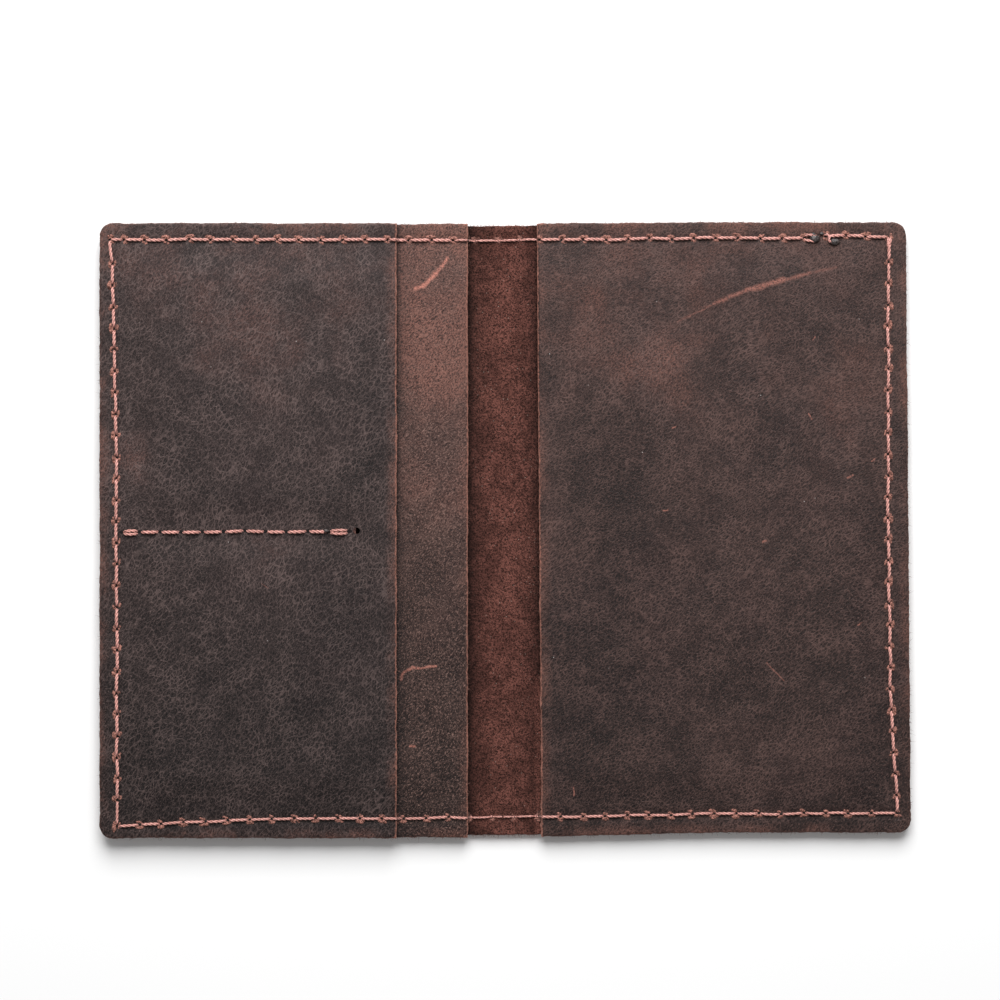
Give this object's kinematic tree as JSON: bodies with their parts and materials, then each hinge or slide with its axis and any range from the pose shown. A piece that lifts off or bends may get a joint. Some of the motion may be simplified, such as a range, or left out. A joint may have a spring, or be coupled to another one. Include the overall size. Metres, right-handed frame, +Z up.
{
  "type": "passport holder wallet",
  "caption": "Open bifold leather passport wallet: a passport pocket on each half, card pockets over the left one, a bare suede spine and a seam all round.",
  "frame": {"origin": "middle of the outer face of the cover, on the surface that the open wallet lies on", "axes": "+X across the open wallet to the right half, +Y up along the spine, +Z up out of the inside faces"},
  "size_m": [0.184, 0.14, 0.0055],
  "materials": {
    "panel_leather": "waxed pull-up leather, dark brown, satin, with paler creases and scuffs",
    "cover_leather": "waxed dark brown grain outside, red-brown suede flesh side inside",
    "thread": "twisted waxed thread, copper pink"
  },
  "bodies": {
    "left_half": {"outer_cover_left": "cover_leather", "passport_panel_left": "panel_leather", "card_panel": "panel_leather", "inner_thread_left": "thread", "outer_thread_left": "thread", "divider_front_thread": "thread", "divider_back_thread": "thread"},
    "spine": {"outer_cover_spine": "cover_leather", "inner_thread_spine": "thread", "outer_thread_spine": "thread"},
    "right_half": {"outer_cover_right": "cover_leather", "passport_panel_right": "panel_leather", "inner_thread_right": "thread", "outer_thread_right": "thread"}
  },
  "joints": [
    {"name": "spine_fold", "type": "hinge", "parent": "left_half", "child": "spine", "pos_m": [-0.0048, 0, 0.0008], "axis": [0, -1, 0], "range_deg": [0, 90]},
    {"name": "cover_fold", "type": "hinge", "parent": "spine", "child": "right_half", "pos_m": [0.0048, 0, 0.0008], "axis": [0, -1, 0], "range_deg": [0, 90]}
  ],
  "couplings": [
    {"joint": "spine_fold", "follows": "cover_fold", "ratio": 1}
  ]
}
